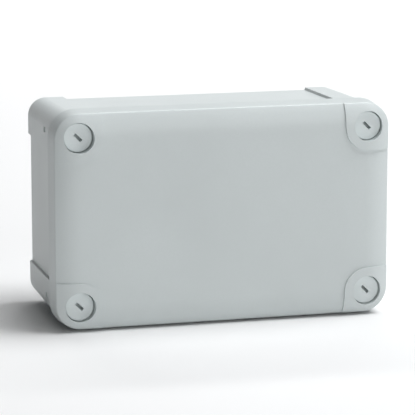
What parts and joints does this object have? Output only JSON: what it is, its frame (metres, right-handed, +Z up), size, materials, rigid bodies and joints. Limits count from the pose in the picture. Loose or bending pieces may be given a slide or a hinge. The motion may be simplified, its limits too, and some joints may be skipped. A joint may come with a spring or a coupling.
{
  "type": "electrical junction box",
  "caption": "Rectangular wall-mounted plastic junction box with a domed cover on quarter-turn corner screws and rail terminals inside.",
  "frame": {"origin": "centre of the flat back face, on the axis of the four wall-fixing holes' pattern", "axes": "+X to the right and along the long side as seen from the front, +Y into the wall (the cover faces -Y), +Z up"},
  "size_m": [0.192, 0.087, 0.121],
  "materials": {
    "light_grey_abs": "satin moulded",
    "grey_screw": "satin moulded",
    "seal": "matt foamed",
    "retainer": "natural nylon",
    "zinc_rail": "zinc plated, passivated",
    "zinc_screw": "zinc plated",
    "phase_housing": "satin moulded",
    "neutral_housing": "satin moulded",
    "earth_housing": "satin moulded, green with yellow",
    "tinned_bar": "tinned",
    "cage_steel": "zinc plated",
    "bracket": "satin moulded"
  },
  "bodies": {
    "box": {"base": "light_grey_abs", "din_rail": "zinc_rail", "rail_screws": "zinc_screw", "end_plate": "phase_housing", "end_bracket_left": "bracket", "end_bracket_right": "bracket", "bracket_screws": "zinc_screw", "terminal_l1_housing": "phase_housing", "terminal_l1_bar": "tinned_bar", "terminal_l2_housing": "phase_housing", "terminal_l2_bar": "tinned_bar", "terminal_l3_housing": "phase_housing", "terminal_l3_bar": "tinned_bar", "terminal_n_housing": "neutral_housing", "terminal_n_bar": "tinned_bar", "terminal_pe_housing": "earth_housing", "terminal_pe_bar": "tinned_bar"},
    "cover": {"cover": "light_grey_abs", "cover_gasket": "seal"},
    "screw_top_left": {"cover_screw_top_left": "grey_screw", "screw_retainer_top_left": "retainer"},
    "screw_top_right": {"cover_screw_top_right": "grey_screw", "screw_retainer_top_right": "retainer"},
    "screw_bottom_left": {"cover_screw_bottom_left": "grey_screw", "screw_retainer_bottom_left": "retainer"},
    "screw_bottom_right": {"cover_screw_bottom_right": "grey_screw", "screw_retainer_bottom_right": "retainer"},
    "clamp_l1_top_screw": {"terminal_l1_screw_top": "zinc_screw"},
    "clamp_l1_top_cage": {"terminal_l1_cage_top": "cage_steel"},
    "clamp_l1_bottom_screw": {"terminal_l1_screw_bottom": "zinc_screw"},
    "clamp_l1_bottom_cage": {"terminal_l1_cage_bottom": "cage_steel"},
    "clamp_l2_top_screw": {"terminal_l2_screw_top": "zinc_screw"},
    "clamp_l2_top_cage": {"terminal_l2_cage_top": "cage_steel"},
    "clamp_l2_bottom_screw": {"terminal_l2_screw_bottom": "zinc_screw"},
    "clamp_l2_bottom_cage": {"terminal_l2_cage_bottom": "cage_steel"},
    "clamp_l3_top_screw": {"terminal_l3_screw_top": "zinc_screw"},
    "clamp_l3_top_cage": {"terminal_l3_cage_top": "cage_steel"},
    "clamp_l3_bottom_screw": {"terminal_l3_screw_bottom": "zinc_screw"},
    "clamp_l3_bottom_cage": {"terminal_l3_cage_bottom": "cage_steel"},
    "clamp_n_top_screw": {"terminal_n_screw_top": "zinc_screw"},
    "clamp_n_top_cage": {"terminal_n_cage_top": "cage_steel"},
    "clamp_n_bottom_screw": {"terminal_n_screw_bottom": "zinc_screw"},
    "clamp_n_bottom_cage": {"terminal_n_cage_bottom": "cage_steel"},
    "clamp_pe_top_screw": {"terminal_pe_screw_top": "zinc_screw"},
    "clamp_pe_top_cage": {"terminal_pe_cage_top": "cage_steel"},
    "clamp_pe_bottom_screw": {"terminal_pe_screw_bottom": "zinc_screw"},
    "clamp_pe_bottom_cage": {"terminal_pe_cage_bottom": "cage_steel"}
  },
  "joints": [
    {"name": "cover_lift", "type": "slide", "parent": "box", "child": "cover", "axis": [0, -1, 0], "range_m": [0, 0.12]},
    {"name": "screw_top_left_turn", "type": "hinge", "parent": "cover", "child": "screw_top_left", "pos_m": [-0.082, -0.0826, 0.0465], "axis": [0, 1, 0], "range_deg": [0, 90]},
    {"name": "screw_top_right_turn", "type": "hinge", "parent": "cover", "child": "screw_top_right", "pos_m": [0.082, -0.0826, 0.0465], "axis": [0, 1, 0], "range_deg": [0, 90]},
    {"name": "screw_bottom_left_turn", "type": "hinge", "parent": "cover", "child": "screw_bottom_left", "pos_m": [-0.082, -0.0826, -0.0465], "axis": [0, 1, 0], "range_deg": [0, 90]},
    {"name": "screw_bottom_right_turn", "type": "hinge", "parent": "cover", "child": "screw_bottom_right", "pos_m": [0.082, -0.0826, -0.0465], "axis": [0, 1, 0], "range_deg": [0, 90]},
    {"name": "clamp_l1_top_turn", "type": "hinge", "parent": "box", "child": "clamp_l1_top_screw", "pos_m": [-0.02, -0.042, 0.0135], "axis": [0, 1, 0], "range_deg": [0, 1440]},
    {"name": "clamp_l1_top_rise", "type": "slide", "parent": "box", "child": "clamp_l1_top_cage", "axis": [0, -1, 0], "range_m": [0, 0.0028]},
    {"name": "clamp_l1_bottom_turn", "type": "hinge", "parent": "box", "child": "clamp_l1_bottom_screw", "pos_m": [-0.02, -0.042, -0.0135], "axis": [0, 1, 0], "range_deg": [0, 1440]},
    {"name": "clamp_l1_bottom_rise", "type": "slide", "parent": "box", "child": "clamp_l1_bottom_cage", "axis": [0, -1, 0], "range_m": [0, 0.0028]},
    {"name": "clamp_l2_top_turn", "type": "hinge", "parent": "box", "child": "clamp_l2_top_screw", "pos_m": [-0.01, -0.042, 0.0135], "axis": [0, 1, 0], "range_deg": [0, 1440]},
    {"name": "clamp_l2_top_rise", "type": "slide", "parent": "box", "child": "clamp_l2_top_cage", "axis": [0, -1, 0], "range_m": [0, 0.0028]},
    {"name": "clamp_l2_bottom_turn", "type": "hinge", "parent": "box", "child": "clamp_l2_bottom_screw", "pos_m": [-0.01, -0.042, -0.0135], "axis": [0, 1, 0], "range_deg": [0, 1440]},
    {"name": "clamp_l2_bottom_rise", "type": "slide", "parent": "box", "child": "clamp_l2_bottom_cage", "axis": [0, -1, 0], "range_m": [0, 0.0028]},
    {"name": "clamp_l3_top_turn", "type": "hinge", "parent": "box", "child": "clamp_l3_top_screw", "pos_m": [0, -0.042, 0.0135], "axis": [0, 1, 0], "range_deg": [0, 1440]},
    {"name": "clamp_l3_top_rise", "type": "slide", "parent": "box", "child": "clamp_l3_top_cage", "axis": [0, -1, 0], "range_m": [0, 0.0028]},
    {"name": "clamp_l3_bottom_turn", "type": "hinge", "parent": "box", "child": "clamp_l3_bottom_screw", "pos_m": [0, -0.042, -0.0135], "axis": [0, 1, 0], "range_deg": [0, 1440]},
    {"name": "clamp_l3_bottom_rise", "type": "slide", "parent": "box", "child": "clamp_l3_bottom_cage", "axis": [0, -1, 0], "range_m": [0, 0.0028]},
    {"name": "clamp_n_top_turn", "type": "hinge", "parent": "box", "child": "clamp_n_top_screw", "pos_m": [0.01, -0.042, 0.0135], "axis": [0, 1, 0], "range_deg": [0, 1440]},
    {"name": "clamp_n_top_rise", "type": "slide", "parent": "box", "child": "clamp_n_top_cage", "axis": [0, -1, 0], "range_m": [0, 0.0028]},
    {"name": "clamp_n_bottom_turn", "type": "hinge", "parent": "box", "child": "clamp_n_bottom_screw", "pos_m": [0.01, -0.042, -0.0135], "axis": [0, 1, 0], "range_deg": [0, 1440]},
    {"name": "clamp_n_bottom_rise", "type": "slide", "parent": "box", "child": "clamp_n_bottom_cage", "axis": [0, -1, 0], "range_m": [0, 0.0028]},
    {"name": "clamp_pe_top_turn", "type": "hinge", "parent": "box", "child": "clamp_pe_top_screw", "pos_m": [0.02, -0.042, 0.0135], "axis": [0, 1, 0], "range_deg": [0, 1440]},
    {"name": "clamp_pe_top_rise", "type": "slide", "parent": "box", "child": "clamp_pe_top_cage", "axis": [0, -1, 0], "range_m": [0, 0.0028]},
    {"name": "clamp_pe_bottom_turn", "type": "hinge", "parent": "box", "child": "clamp_pe_bottom_screw", "pos_m": [0.02, -0.042, -0.0135], "axis": [0, 1, 0], "range_deg": [0, 1440]},
    {"name": "clamp_pe_bottom_rise", "type": "slide", "parent": "box", "child": "clamp_pe_bottom_cage", "axis": [0, -1, 0], "range_m": [0, 0.0028]}
  ],
  "couplings": [
    {"joint": "clamp_l1_top_turn", "follows": "clamp_l1_top_rise", "rad_per_m": 8975.9},
    {"joint": "clamp_l1_bottom_turn", "follows": "clamp_l1_bottom_rise", "rad_per_m": 8975.9},
    {"joint": "clamp_l2_top_turn", "follows": "clamp_l2_top_rise", "rad_per_m": 8975.9},
    {"joint": "clamp_l2_bottom_turn", "follows": "clamp_l2_bottom_rise", "rad_per_m": 8975.9},
    {"joint": "clamp_l3_top_turn", "follows": "clamp_l3_top_rise", "rad_per_m": 8975.9},
    {"joint": "clamp_l3_bottom_turn", "follows": "clamp_l3_bottom_rise", "rad_per_m": 8975.9},
    {"joint": "clamp_n_top_turn", "follows": "clamp_n_top_rise", "rad_per_m": 8975.9},
    {"joint": "clamp_n_bottom_turn", "follows": "clamp_n_bottom_rise", "rad_per_m": 8975.9},
    {"joint": "clamp_pe_top_turn", "follows": "clamp_pe_top_rise", "rad_per_m": 8975.9},
    {"joint": "clamp_pe_bottom_turn", "follows": "clamp_pe_bottom_rise", "rad_per_m": 8975.9}
  ]
}
